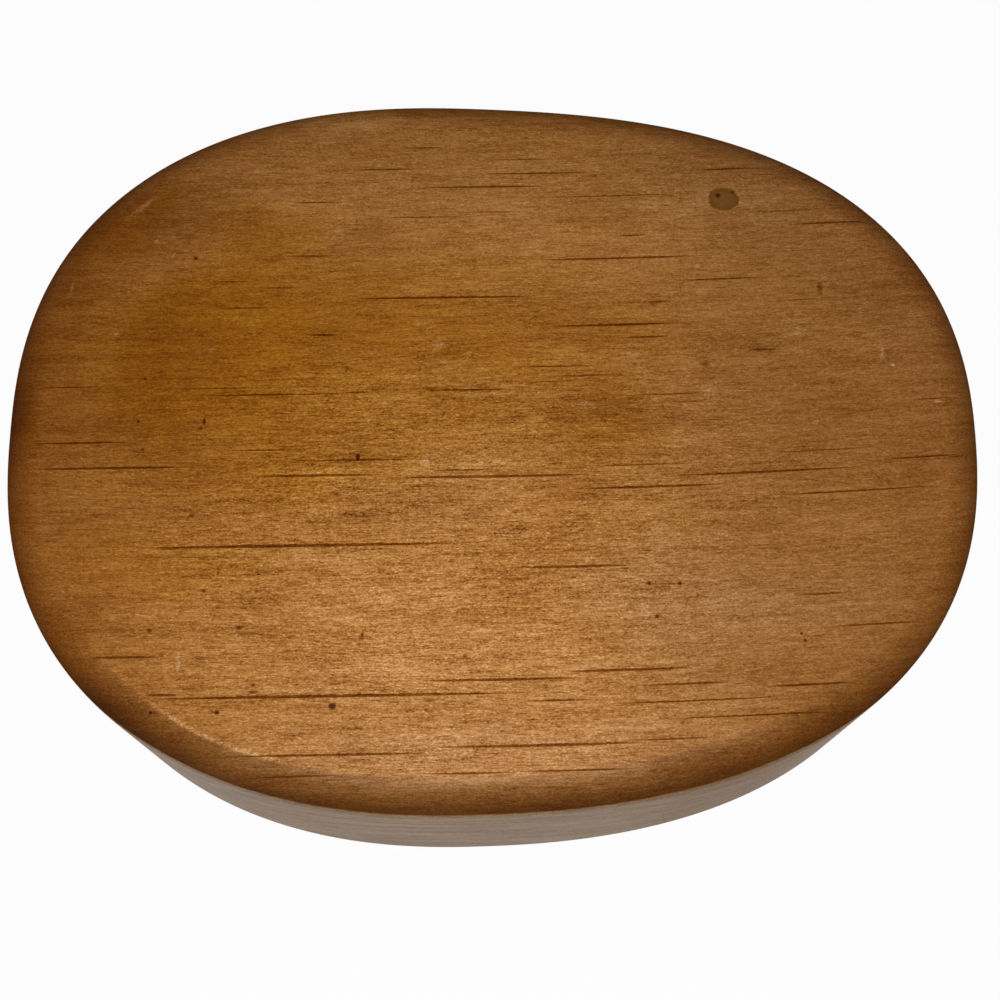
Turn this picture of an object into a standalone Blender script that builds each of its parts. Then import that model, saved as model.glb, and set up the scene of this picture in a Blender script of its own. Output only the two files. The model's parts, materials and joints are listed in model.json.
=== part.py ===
"""Oval wooden trinket box, sawn and sanded from one block, with a lid that swivels on a dowel.

Sizes are in metres. The origin is on the table under the middle of the box, with +X along
the oval towards the dowel, +Y to the back and +Z up. The lid turns about the dowel's axis.
"""

import math

import bmesh
import bpy
from mathutils import Vector

# The oval seen from above, shared by the bottom board, the wall and the lid
OVAL_LENGTH = 0.150
OVAL_WIDTH = 0.1166
OVAL_ROUNDNESS_SHARE = 0.84  # 1 is a true ellipse, and less is squarer
RIGHT_FULLNESS_SHARE = 0.0127  # how much fuller the right end is than the left
FRONT_FULLNESS_SHARE = 0.0057  # how much fuller the front is than the back

# The layers of the block, bottom to top
BOTTOM_THICKNESS = 0.007
WALL_HEIGHT = 0.0255
LID_THICKNESS = 0.012
GLUE_GAP = 0.0003
LID_GAP = 0.0003

# The hollow
WALL_THICKNESS = 0.0095
RIM_EASE = 0.0008
FOOT_EASE = 0.0012
LINING_THICKNESS = 0.0012
LINING_MARGIN = 0.0005

# The lid's hand-rounded upper edge and its lower arris
EDGE_HEIGHT = 0.0064
EDGE_INSET_BACK = 0.0070
EDGE_INSET_FRONT = 0.0055
WORN_CORNER_CUT = 0.0009  # how much narrower the rounding is at the worn front left corner
WORN_CORNER_TURN = math.radians(241)
WORN_CORNER_SPREAD = math.radians(14)
ARRIS_EASE = 0.0004

# The dowel: glued into the lid, and turning in a blind hole in the wall
DOWEL_RADIUS = 0.0024
DOWEL_SET_IN = 0.0130  # from the edge of the oval to the dowel's axis
DOWEL_TURN = math.radians(59.4)
DOWEL_SEAT_DEPTH = 0.016
DOWEL_TIP_EASE = 0.0005
DOWEL_GAP = 0.0003
BOSS_WALL = 0.0040  # wood between the dowel's hole and the hollow
BOSS_HALF_WIDTH = 0.0150
CUT_OVERRUN = 0.002

# How finely the curves are drawn
OVAL_STEPS = 144
EDGE_STEPS = 8
FOOT_STEPS = 3
ROUND_STEPS = 36
NORMAL_STEP = math.radians(0.5)
SHARP_ANGLE = math.radians(35)

# Heights worked out from the layers
WALL_BASE = BOTTOM_THICKNESS + GLUE_GAP
WALL_TOP = WALL_BASE + WALL_HEIGHT
LID_BASE = WALL_TOP + LID_GAP
LID_TOP = LID_BASE + LID_THICKNESS
HOLE_RADIUS = DOWEL_RADIUS + DOWEL_GAP
BOSS_DEPTH = DOWEL_SET_IN + HOLE_RADIUS + BOSS_WALL


def turns():
    """The parameter of each point round the oval, starting at +X."""
    return [2 * math.pi * i / OVAL_STEPS for i in range(OVAL_STEPS)]


def signed_power(value, exponent):
    return math.copysign(abs(value) ** exponent, value)


def unit_oval(turn):
    """A squarish oval about 2 across, swelled a little towards its right end and its front."""
    x = signed_power(math.cos(turn), OVAL_ROUNDNESS_SHARE)
    y = signed_power(math.sin(turn), OVAL_ROUNDNESS_SHARE) * OVAL_WIDTH / OVAL_LENGTH
    bearing = math.atan2(y, x)
    swell = (
        1
        + RIGHT_FULLNESS_SHARE * math.cos(3 * bearing)
        + FRONT_FULLNESS_SHARE * math.sin(3 * bearing)
    )
    return Vector((x * swell, y * swell))


def oval_box():
    """The lowest and highest corners of the unit oval."""
    points = [unit_oval(turn) for turn in turns()]
    low = Vector((min(p.x for p in points), min(p.y for p in points)))
    high = Vector((max(p.x for p in points), max(p.y for p in points)))
    return low, high


OVAL_LOW, OVAL_HIGH = oval_box()


def oval_point(turn):
    """The edge of the box at real size, centred on the origin."""
    span = OVAL_HIGH - OVAL_LOW
    point = unit_oval(turn) - (OVAL_LOW + OVAL_HIGH) / 2
    return Vector((point.x / span.x * OVAL_LENGTH, point.y / span.y * OVAL_WIDTH))


def inset_point(turn, depth):
    """The point this far inside the edge, square to it."""
    along = oval_point(turn + NORMAL_STEP) - oval_point(turn - NORMAL_STEP)
    inward = Vector((-along.y, along.x)).normalized()
    return oval_point(turn) + inward * depth


DOWEL_AXIS = inset_point(DOWEL_TURN, DOWEL_SET_IN)


def oval_ring(depth, height, share=1):
    """The oval inset by a share of a depth, or of a function of the turn, at a height."""
    points = []
    for turn in turns():
        here = depth(turn) if callable(depth) else depth
        point = inset_point(turn, here * share)
        points.append(Vector((point.x, point.y, height)))
    return points


def rounded_corner(reach, side, flat, steps):
    """Rings over a rounded corner, from the upright side at one height to a flat face."""
    rings = []
    for i in range(steps + 1):
        lean = math.pi / 2 * i / steps
        height = side + (flat - side) * math.sin(lean)
        rings.append(oval_ring(reach, height, 1 - math.cos(lean)))
    return rings


def hollow_depth(turn):
    """How far the hollow's side lies inside the edge: the wall, with a boss round the dowel."""
    away = (oval_point(turn) - oval_point(DOWEL_TURN)).length / BOSS_HALF_WIDTH
    return WALL_THICKNESS + (BOSS_DEPTH - WALL_THICKNESS) * math.exp(-away * away)


def edge_inset(turn):
    """How far the lid's rounding reaches in: wide at the back, narrow at the front."""
    middle = (EDGE_INSET_BACK + EDGE_INSET_FRONT) / 2
    swing = (EDGE_INSET_BACK - EDGE_INSET_FRONT) / 2
    away = (turn - WORN_CORNER_TURN) / WORN_CORNER_SPREAD
    return middle + swing * math.sin(turn) - WORN_CORNER_CUT * math.exp(-away * away)


def skin(mesh, rings, closed):
    """Joins rings of points with quads, and caps the ends, or meets end to start if closed."""
    loops = [[mesh.verts.new(point) for point in ring] for ring in rings]
    pairs = list(zip(loops, loops[1:]))
    if closed:
        pairs.append((loops[-1], loops[0]))
    for lower, upper in pairs:
        for i in range(len(lower)):
            j = (i + 1) % len(lower)
            mesh.faces.new((lower[i], lower[j], upper[j], upper[i]))
    if not closed:
        mesh.faces.new(reversed(loops[0]))
        mesh.faces.new(loops[-1])


def add_solid(name, rings, material, axis=None, closed=False):
    """A solid skinned over rings of world points, hung from an axis empty where it has one."""
    solid = bmesh.new()
    skin(solid, rings, closed)
    if axis:
        bmesh.ops.translate(solid, verts=solid.verts, vec=-axis.location)
    bmesh.ops.recalc_face_normals(solid, faces=solid.faces)
    mesh = bpy.data.meshes.new(name)
    solid.to_mesh(mesh)
    solid.free()
    mesh.materials.append(material)
    mesh.shade_smooth()
    mesh.set_sharp_from_angle(angle=SHARP_ANGLE)
    thing = bpy.data.objects.new(name, mesh)
    thing.parent = axis
    bpy.context.scene.collection.objects.link(thing)
    return thing


def circle_ring(radius, height):
    """A circle round the dowel's axis."""
    points = []
    for i in range(ROUND_STEPS):
        angle = 2 * math.pi * i / ROUND_STEPS
        x = DOWEL_AXIS.x + radius * math.cos(angle)
        y = DOWEL_AXIS.y + radius * math.sin(angle)
        points.append(Vector((x, y, height)))
    return points


def drill(board, bottom, top, axis=None):
    """Cuts the dowel's hole in a board, from one height to another."""
    name = "drill_for_" + board.name
    rings = [circle_ring(HOLE_RADIUS, bottom), circle_ring(HOLE_RADIUS, top)]
    cutter = add_solid(name, rings, board.data.materials[0], axis)
    cutter.hide_render = True
    cutter.display_type = "WIRE"
    cut = board.modifiers.new("dowel_hole", "BOOLEAN")
    cut.operation = "DIFFERENCE"
    cut.solver = "EXACT"
    cut.object = cutter


def finish(name, colour, roughness):
    """A plain material for one kind of wood or cloth."""
    material = bpy.data.materials.new(name)
    material.use_nodes = True
    shader = material.node_tree.nodes["Principled BSDF"]
    shader.inputs["Base Color"].default_value = (*colour, 1)
    shader.inputs["Roughness"].default_value = roughness
    shader.inputs["Metallic"].default_value = 0
    return material


def make_bottom_board(wood):
    """The slice glued back under the hollowed block, with its lower edge eased."""
    rings = rounded_corner(FOOT_EASE, FOOT_EASE, 0, FOOT_STEPS)[::-1]
    rings.append(oval_ring(0, BOTTOM_THICKNESS))
    return add_solid("bottom_board", rings, wood)


def make_body_wall(wood):
    """The block's middle, sawn out to an oval ring with a boss for the dowel."""

    def eased_hollow(turn):
        return hollow_depth(turn) - RIM_EASE

    rings = [
        oval_ring(0, WALL_BASE),
        oval_ring(0, WALL_TOP - ARRIS_EASE),
        oval_ring(ARRIS_EASE, WALL_TOP),
        oval_ring(eased_hollow, WALL_TOP),
        oval_ring(hollow_depth, WALL_TOP - RIM_EASE),
        oval_ring(hollow_depth, WALL_BASE),
    ]
    wall = add_solid("body_wall", rings, wood, closed=True)
    drill(wall, WALL_TOP - DOWEL_SEAT_DEPTH, WALL_TOP + CUT_OVERRUN)
    return wall


def make_floor_lining(felt):
    """The felt cut to the hollow's outline and glued to the bottom board."""

    def cut_line(turn):
        return hollow_depth(turn) + LINING_MARGIN

    base = BOTTOM_THICKNESS + GLUE_GAP
    rings = [oval_ring(cut_line, base), oval_ring(cut_line, base + LINING_THICKNESS)]
    return add_solid("floor_lining", rings, felt)


def make_lid(wood, axis):
    """The top slice, with its upper edge rounded over by hand and a hole for the dowel."""
    rings = [oval_ring(ARRIS_EASE, LID_BASE), oval_ring(0, LID_BASE + ARRIS_EASE)]
    rings += rounded_corner(edge_inset, LID_TOP - EDGE_HEIGHT, LID_TOP, EDGE_STEPS)
    lid = add_solid("lid", rings, wood, axis)
    drill(lid, LID_BASE - CUT_OVERRUN, LID_TOP + CUT_OVERRUN, axis)
    return lid


def make_pivot_dowel(wood, axis):
    """The dowel, flush with the lid's top and eased at the tip that turns in the wall."""
    tip = WALL_TOP - DOWEL_SEAT_DEPTH + DOWEL_GAP
    rings = [
        circle_ring(DOWEL_RADIUS - DOWEL_TIP_EASE, tip),
        circle_ring(DOWEL_RADIUS, tip + DOWEL_TIP_EASE),
        circle_ring(DOWEL_RADIUS, LID_TOP),
    ]
    return add_solid("pivot_dowel", rings, wood, axis)


def main():
    for old in list(bpy.data.objects):
        bpy.data.objects.remove(old, do_unlink=True)
    block_wood = finish("varnished_wood", (0.30, 0.13, 0.045), 0.38)
    dowel_wood = finish("dowel_end_grain", (0.11, 0.055, 0.025), 0.5)
    felt = finish("green_felt", (0.035, 0.07, 0.04), 0.95)

    swivel = bpy.data.objects.new("lid_swivel_axis", None)
    swivel.location = (DOWEL_AXIS.x, DOWEL_AXIS.y, WALL_TOP)
    bpy.context.scene.collection.objects.link(swivel)

    make_bottom_board(block_wood)
    make_body_wall(block_wood)
    make_floor_lining(felt)
    make_lid(block_wood, swivel)
    make_pivot_dowel(dowel_wood, swivel)


main()
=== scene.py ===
"""Looks for an oval trinket box: the wood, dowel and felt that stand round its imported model.

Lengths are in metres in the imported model's frame: the origin is on the table under the
middle of the box, +X runs along the oval towards the dowel, +Y to the back and +Z up.
Patterns in the wood and the felt are laid out in millimetres in the same frame.
"""

import json
import math

import bmesh
import bpy
from mathutils import Matrix, Vector


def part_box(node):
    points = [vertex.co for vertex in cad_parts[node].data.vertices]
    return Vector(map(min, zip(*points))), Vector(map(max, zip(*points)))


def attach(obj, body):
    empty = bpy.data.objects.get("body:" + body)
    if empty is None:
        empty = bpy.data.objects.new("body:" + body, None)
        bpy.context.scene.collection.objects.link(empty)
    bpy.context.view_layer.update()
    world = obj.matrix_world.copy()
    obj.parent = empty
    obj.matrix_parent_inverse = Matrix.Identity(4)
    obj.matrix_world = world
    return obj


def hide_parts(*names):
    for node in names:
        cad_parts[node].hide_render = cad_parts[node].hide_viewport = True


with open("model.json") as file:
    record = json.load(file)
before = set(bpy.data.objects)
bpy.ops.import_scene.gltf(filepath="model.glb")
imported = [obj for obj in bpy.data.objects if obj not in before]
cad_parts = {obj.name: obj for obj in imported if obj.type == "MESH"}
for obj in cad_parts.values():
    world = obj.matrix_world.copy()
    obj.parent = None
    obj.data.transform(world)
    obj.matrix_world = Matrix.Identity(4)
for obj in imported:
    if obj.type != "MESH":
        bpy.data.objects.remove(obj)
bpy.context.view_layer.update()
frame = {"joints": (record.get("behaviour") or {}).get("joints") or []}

bl_info = {
    "name": "Oval Trinket Box",
    "version": (1, 0, 0),
    "blender": (4, 5, 0),
    "location": "3D View > Sidebar > Trinket Box",
    "description": "Builds a varnished oval box with a lid that swivels on a dowel",
    "category": "Add Mesh",
}

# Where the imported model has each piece
LID_LOW, LID_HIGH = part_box("lid")
WALL_LOW, WALL_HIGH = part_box("body_wall")
BOARD_LOW, BOARD_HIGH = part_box("bottom_board")
LINING_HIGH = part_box("floor_lining")[1]
DOWEL_LOW, DOWEL_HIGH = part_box("pivot_dowel")
DOWEL_PLACE = Vector(frame["joints"][0]["pos_m"])

MM = 1000  # millimetres in a metre
MERGE_DISTANCE = 2e-6
SHARP_ANGLE = math.radians(35)


# Settings


def size_property(name, description, default):
    return bpy.props.FloatProperty(
        name=name,
        description=description,
        default=default,
        min=0,
        precision=5,
        subtype="DISTANCE",
        unit="LENGTH",
    )


def share_property(name, description, default):
    return bpy.props.FloatProperty(
        name=name, description=description, default=default, precision=4, subtype="FACTOR"
    )


def angle_property(name, description, default):
    return bpy.props.FloatProperty(
        name=name,
        description=description,
        default=math.radians(default),
        subtype="ANGLE",
        unit="ROTATION",
    )


def colour_property(name, description, default):
    return bpy.props.FloatVectorProperty(
        name=name, description=description, default=default, size=3, min=0, max=1, subtype="COLOR"
    )


class OvalSizes(bpy.types.PropertyGroup):
    length: size_property("Length", "The oval's length", LID_HIGH.x - LID_LOW.x)
    width: size_property("Width", "The oval's width", LID_HIGH.y - LID_LOW.y)
    roundness: share_property("Roundness", "1 is a true ellipse, and less is squarer", 0.84)
    right_fullness: share_property(
        "Right Fullness", "How much fuller the right end is than the left", 0.0127
    )
    front_fullness: share_property(
        "Front Fullness", "How much fuller the front is than the back", 0.0057
    )


class LidSizes(bpy.types.PropertyGroup):
    edge_height: size_property("Edge Height", "Height of the rounded edge", 0.0064)
    inset_back: size_property("Inset Back", "Reach of the rounding at the back", 0.0070)
    inset_front: size_property("Inset Front", "Reach of the rounding at the front", 0.0055)
    worn_cut: size_property("Worn Cut", "What the worn corner takes off the reach", 0.0009)
    worn_turn: angle_property("Worn Turn", "Where round the oval the worn corner is", 241)
    worn_spread: angle_property("Worn Spread", "How far the worn corner spreads", 14)
    arris: size_property("Arris", "Easing of the lower edge", 0.00015)
    seam: size_property("Seam", "Gap between lid and wall that shows", 0.00003)


class WallSizes(bpy.types.PropertyGroup):
    thickness: size_property("Wall Thickness", "Thickness of the wall", 0.0095)
    arris: size_property("Arris", "Easing of the wall's upper outer edge", 0.00015)
    rim_ease: size_property("Rim Ease", "Easing of the hollow's upper edge", 0.0008)
    boss_depth: size_property("Boss Depth", "Depth of the wood round the dowel", 0.0197)
    boss_half_width: size_property("Boss Half Width", "Half the boss's width", 0.0150)
    foot_ease: size_property("Foot Ease", "Easing of the box's lower edge", 0.0012)
    lining_margin: size_property("Lining Margin", "Room between felt and wall", 0.0003)


class DowelSizes(bpy.types.PropertyGroup):
    radius: size_property("Radius", "Radius of the dowel", (DOWEL_HIGH.x - DOWEL_LOW.x) / 2)
    turn: angle_property("Turn", "Where round the oval the dowel stands", 59.4)
    glue_line: size_property("Glue Line", "Gap round the dowel in the lid", 0.00001)
    seat_gap: size_property("Seat Gap", "Gap round the dowel in the wall", 0.0002)
    tip_ease: size_property("Tip Ease", "Easing of the dowel's lower end", 0.0005)


class Finishes(bpy.types.PropertyGroup):
    wood: colour_property("Wood", "Stained wood of the lid", (0.335, 0.136, 0.028))
    # Painted shade: the next two tints darken the rounding, and the front rim more, where the edge
    # turns away from the light
    edge: colour_property("Edge", "Tint of the stain along the rounding", (0.68, 0.58, 0.41))
    front_shade: colour_property("Front Edge", "Tint of the handled front", (0.345, 0.28, 0.20))
    side: colour_property("Side", "Stained wood of the sawn side", (0.207, 0.107, 0.034))
    # Bare is also the colour of the painted highlight along the worn crease
    bare: colour_property("Bare", "Wood rubbed bare along a worn edge", (0.520, 0.290, 0.120))
    dowel: colour_property("Dowel", "End grain of the dowel", (0.158, 0.068, 0.0145))
    dowel_ring: colour_property("Dowel Ring", "Darker ring inside its rim", (0.142, 0.053, 0.0065))
    dowel_rim: colour_property("Dowel Rim", "Where it blends into the lid", (0.285, 0.118, 0.029))
    felt: colour_property("Felt", "Felt in the hollow", (0.035, 0.070, 0.040))
    varnish: share_property("Varnish Roughness", "Roughness of the satin varnish", 0.45)
    lid_coat: share_property("Lid Coat", "How much varnish lies on the lid", 0.14)
    side_coat: share_property("Side Coat", "How much varnish lies on the sawn side", 0.39)


class StageSettings(bpy.types.PropertyGroup):
    lamp_power: bpy.props.FloatProperty(
        name="Lamp Power",
        description="Power of the soft lamp over the box",
        default=0.78,
        min=0,
        unit="POWER",
    )
    lamp_size: size_property("Lamp Size", "Side of the lamp", 0.14)
    lamp_height: size_property("Lamp Height", "Height of the lamp over the table", 0.30)
    lamp_forward: size_property("Lamp Forward", "How far in front of the box it hangs", 0.13)
    fill: share_property("Fill", "Light of the room on the box", 0.28)
    floor: colour_property("Floor", "Colour of the table", (0.62, 0.62, 0.61))


def group_property(name, description, group):
    return bpy.props.PointerProperty(name=name, description=description, type=group)


class BoxSettings(bpy.types.PropertyGroup):
    oval: group_property("Oval", "The outline", OvalSizes)
    lid: group_property("Lid", "The lid", LidSizes)
    wall: group_property("Wall", "The wall", WallSizes)
    dowel: group_property("Dowel", "The dowel", DowelSizes)
    finish: group_property("Finishes", "Colours", Finishes)
    stage: group_property("Stage", "The light", StageSettings)


# Nodes written as Python


def math_method(operation, wire_last=False):
    """A method that joins a wire and something else with a Math node."""

    def method(self, other):
        terms = (other, self) if wire_last else (self, other)
        return self.graph.math(operation, *terms)

    return method


class Wire:
    """A node's output. Python's operators on it add Math nodes."""

    def __init__(self, graph, socket):
        self.graph = graph
        self.socket = socket

    __add__, __radd__ = math_method("ADD"), math_method("ADD", wire_last=True)
    __sub__, __rsub__ = math_method("SUBTRACT"), math_method("SUBTRACT", wire_last=True)
    __mul__, __rmul__ = math_method("MULTIPLY"), math_method("MULTIPLY", wire_last=True)
    __truediv__, __rtruediv__ = math_method("DIVIDE"), math_method("DIVIDE", wire_last=True)
    __pow__ = math_method("POWER")
    at_least = math_method("MAXIMUM")
    at_most = math_method("MINIMUM")

    def __neg__(self):
        return self * -1

    def out(self, name):
        """Another output of the same node."""
        return Wire(self.graph, self.socket.node.outputs[name])

    def share(self, low=0, high=1):
        """0 up to low, 1 from high, and straight between them."""
        return self.graph.ramp(self, low, high, "LINEAR")

    def smooth(self, low=0, high=1):
        """0 up to low, 1 from high, and an S curve between them."""
        return self.graph.ramp(self, low, high, "SMOOTHSTEP")


class Graph:
    """A node tree: node() adds any node, and the other methods call it."""

    def __init__(self, tree):
        self.tree = tree

    def node(self, kind, settings=None, sockets=None, output=0):
        """Adds a node: its settings first, then its sockets' values or links."""
        node = self.tree.nodes.new(kind)
        for name, value in (settings or {}).items():
            setattr(node, name, value)
        for key, value in (sockets or {}).items():
            if isinstance(value, Wire):
                self.tree.links.new(value.socket, node.inputs[key])
            else:
                node.inputs[key].default_value = value
        return Wire(self, node.outputs[output]) if len(node.outputs) else node

    def math(self, operation, *terms):
        return self.node("ShaderNodeMath", {"operation": operation}, dict(enumerate(terms)))

    def vector(self, operation, *terms):
        """A Vector Math node, and its number where the operation gives one."""
        output = 1 if operation in ("DOT_PRODUCT", "LENGTH", "DISTANCE") else 0
        settings = {"operation": operation}
        return self.node("ShaderNodeVectorMath", settings, dict(enumerate(terms)), output)

    def combine(self, x, y, z=0):
        return self.node("ShaderNodeCombineXYZ", None, {"X": x, "Y": y, "Z": z})

    def parts(self, vector):
        apart = self.node("ShaderNodeSeparateXYZ", None, {"Vector": vector})
        return apart.out("X"), apart.out("Y"), apart.out("Z")

    def ramp(self, value, low, high, interpolation):
        sockets = {"Value": value, "From Min": low, "From Max": high}
        return self.node("ShaderNodeMapRange", {"interpolation_type": interpolation}, sockets)

    def mix(self, factor, first, second, blend="MIX"):
        """A colour between two colours, or blended with the second one."""
        settings = {"data_type": "RGBA", "blend_type": blend}
        return self.node("ShaderNodeMix", settings, {0: factor, 6: first, 7: second}, 2)

    def noise(self, place, detail=0):
        """Smooth noise about 0, most of it between -0.25 and 0.25."""
        sockets = {"Vector": place, "Scale": 1, "Detail": detail, "Roughness": 0.5}
        return self.node("ShaderNodeTexNoise", None, sockets) - 0.5

    def patches(self, place, scale, detail=0):
        """Noise in patches about 1 / scale long, wide and high."""
        return self.noise(self.vector("MULTIPLY", place, scale), detail)

    def attribute(self, name):
        """A value that bend() keeps on the mesh."""
        return self.node("ShaderNodeAttribute", {"attribute_name": name}, None, "Fac")

    def bump(self, strength, distance, height):
        sockets = {"Strength": strength, "Distance": distance, "Height": height}
        return self.node("ShaderNodeBump", None, sockets)


# The oval, in Geometry Nodes

OVAL_INPUTS = ("Length", "Width", "Roundness", "Right Fullness", "Front Fullness")
OVAL_STEPS = 288
NORMAL_STEP = math.radians(0.5)
HOLE_STEPS = 96


def geometry_graph(name, inputs, outputs):
    """A geometry tree with named inputs and outputs: its graph, and its inputs as wires."""
    tree = bpy.data.node_groups.new(name, "GeometryNodeTree")
    for label, value in inputs.items():
        kind = "NodeSocketMaterial" if value is None else "NodeSocketFloat"
        socket = tree.interface.new_socket(name=label, in_out="INPUT", socket_type=kind)
        if value is not None:
            socket.default_value = value
    for label, kind in outputs.items():
        tree.interface.new_socket(name=label, in_out="OUTPUT", socket_type=kind)
    graph = Graph(tree)
    entry = graph.node("NodeGroupInput")
    return graph, {label: entry.out(label) for label in inputs}


def call(graph, group, sockets):
    """A node group's first output, with these values or links on its inputs."""
    return graph.node("GeometryNodeGroup", {"node_tree": group}, sockets)


def pick(sizes, labels):
    return {label: sizes[label] for label in labels}


def oval_values(settings):
    oval = settings.oval
    values = (oval.length, oval.width, oval.roundness, oval.right_fullness, oval.front_fullness)
    return dict(zip(OVAL_INPUTS, values))


def unit_oval_group(settings):
    """The squarish oval about 2 across, swelled towards its right end and its front."""
    inputs = {"Turn": 0.0, **oval_values(settings)}
    g, size = geometry_graph("Unit Oval", inputs, {"Place": "NodeSocketVector"})

    def squared(wave):
        return g.math("SIGN", wave) * g.math("ABSOLUTE", wave) ** size["Roundness"]

    x = squared(g.math("COSINE", size["Turn"]))
    y = squared(g.math("SINE", size["Turn"])) * size["Width"] / size["Length"]
    bearing = 3 * g.math("ARCTAN2", y, x)
    right = size["Right Fullness"] * g.math("COSINE", bearing)
    front = size["Front Fullness"] * g.math("SINE", bearing)
    swell = 1 + right + front
    g.node("NodeGroupOutput", None, {"Place": g.combine(x * swell, y * swell)})
    return g.tree


def oval_edge_group(settings):
    """A point this deep inside the oval's edge, square to it, at a turn round the oval."""
    inputs = {"Turn": 0.0, "Depth": 0.0, **oval_values(settings)}
    g, size = geometry_graph("Oval Edge", inputs, {"Place": "NodeSocketVector"})
    unit_oval = unit_oval_group(settings)

    def unit_place(turn):
        return call(g, unit_oval, {"Turn": turn, **pick(size, OVAL_INPUTS)})

    ring = g.node("GeometryNodeMeshCircle", None, {"Vertices": OVAL_STEPS})
    step = g.node("GeometryNodeInputIndex") * (2 * math.pi / OVAL_STEPS)
    sockets = {"Geometry": ring, "Position": unit_place(step)}
    outline = g.node("GeometryNodeSetPosition", None, sockets)
    box = g.node("GeometryNodeBoundBox", None, {0: outline})
    low, high = box.out("Min"), box.out("Max")
    middle = g.vector("MULTIPLY", g.vector("ADD", low, high), (0.5, 0.5, 0))
    span = g.vector("ADD", g.vector("SUBTRACT", high, low), (0, 0, 1))
    scale = g.vector("DIVIDE", g.combine(size["Length"], size["Width"]), span)

    def edge(turn):
        return g.vector("MULTIPLY", g.vector("SUBTRACT", unit_place(turn), middle), scale)

    turn = size["Turn"]
    along = g.vector("SUBTRACT", edge(turn + NORMAL_STEP), edge(turn - NORMAL_STEP))
    along_x, along_y, _ = g.parts(along)
    inward = g.vector("NORMALIZE", g.combine(-along_y, along_x))
    depth = g.combine(size["Depth"], size["Depth"])
    place = g.vector("ADD", edge(turn), g.vector("MULTIPLY", inward, depth))
    g.node("NodeGroupOutput", None, {"Place": place})
    return g.tree


HOLLOW_INPUTS = ("Wall Thickness", "Boss Depth", "Boss Half Width", "Boss Turn")


def hollow_values(settings):
    wall = settings.wall
    values = (wall.thickness, wall.boss_depth, wall.boss_half_width, settings.dowel.turn)
    return dict(zip(HOLLOW_INPUTS, values))


def hollow_depth_group(settings, oval_edge):
    """How far the hollow's side lies inside the edge: the wall, with a boss at the dowel."""
    inputs = {"Turn": 0.0, **hollow_values(settings), **oval_values(settings)}
    g, size = geometry_graph("Hollow Depth", inputs, {"Depth": "NodeSocketFloat"})
    oval = pick(size, OVAL_INPUTS)
    here = call(g, oval_edge, {"Turn": size["Turn"], "Depth": 0, **oval})
    boss = call(g, oval_edge, {"Turn": size["Boss Turn"], "Depth": 0, **oval})
    away = g.vector("DISTANCE", here, boss) / size["Boss Half Width"]
    extra = (size["Boss Depth"] - size["Wall Thickness"]) * g.math("EXPONENT", -(away * away))
    g.node("NodeGroupOutput", None, {"Depth": size["Wall Thickness"] + extra})
    return g.tree


def lay_rings(g, around, rings):
    """A grid to bend into rings: its mesh, and each point's turn and ring."""
    counts = {"Vertices X": around + 1, "Vertices Y": rings + 1}
    grid = g.node("GeometryNodeMeshGrid", None, counts)
    across, along, _ = g.parts(g.node("GeometryNodeInputPosition"))
    return grid, (across + 0.5) * (2 * math.pi), (along + 0.5) * rings


def run_stages(ring, counts):
    """How far each stage of a profile has run, from 0 to 1, with its rings closer at its ends."""
    start, found = 0, []
    for count in counts:
        found.append(ring.smooth(start, start + count))
        start += count
    return found


def quarter(g, share):
    """(sine, 1 - cosine) of a share of a right angle."""
    lean = share * (math.pi / 2)
    return g.math("SINE", lean), 1 - g.math("COSINE", lean)


def slab(g, counts, edge, depth, heights, lower, upper):
    """Rings from the middle of a slab's underside, round its edge, to the middle of its top.

    counts are its steps around and its rings in each stage. depth(turn) is how far its outline
    lies inside edge(turn, depth). lower is the ease of its lower edge, and upper(turn) the
    reach and height of its rounded upper edge. The result is the grid, each point's turn and
    place, and how far it lies from the crease where the flat top begins, which is negative on
    the rounding.
    """
    around, steps = counts
    base, top = heights
    grid, turn, ring = lay_rings(g, around, sum(steps))
    under, foot, side, rounding, over = run_stages(ring, steps)
    foot_sine, foot_fall = quarter(g, foot)
    edge_sine, edge_fall = quarter(g, rounding)
    reach, rise = upper(turn)
    inset = depth(turn) + lower * (1 - foot_sine) + reach * edge_fall
    height = base + lower * foot_fall + (top - rise - base - lower) * side + rise * edge_sine
    middle_x, middle_y, rim = edge(turn, inset)
    rim_x, rim_y, _ = g.parts(rim)
    shrink = under * (1 - over)
    crease = over * g.vector("LENGTH", rim) - reach * (1 - edge_fall)
    place = (middle_x + rim_x * shrink, middle_y + rim_y * shrink, height)
    return grid, turn, place, crease


def drill(g, mesh, x, y, radius, bottom, top):
    """Cuts a round hole through a mesh, or into it."""
    sockets = {"Vertices": HOLE_STEPS, "Radius": radius, "Depth": top - bottom}
    bit = g.node("GeometryNodeMeshCylinder", None, sockets)
    sockets = {"Geometry": bit, "Translation": g.combine(x, y, (top + bottom) * 0.5)}
    bit = g.node("GeometryNodeTransform", None, sockets)
    settings = {"operation": "DIFFERENCE", "solver": "EXACT"}
    return g.node("GeometryNodeMeshBoolean", settings, {"Mesh 1": mesh, "Mesh 2": bit})


def bend(g, grid, place, attributes):
    """Keeps values on the grid's points, bends it into place and closes its seam and poles."""
    for name, value in attributes.items():
        sockets = {"Geometry": grid, "Name": name, "Value": value}
        settings = {"data_type": "FLOAT", "domain": "POINT"}
        grid = g.node("GeometryNodeStoreNamedAttribute", settings, sockets)
    sockets = {"Geometry": grid, "Position": g.combine(*place)}
    bent = g.node("GeometryNodeSetPosition", None, sockets)
    sockets = {"Geometry": bent, "Distance": MERGE_DISTANCE}
    return g.node("GeometryNodeMergeByDistance", None, sockets)


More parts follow.
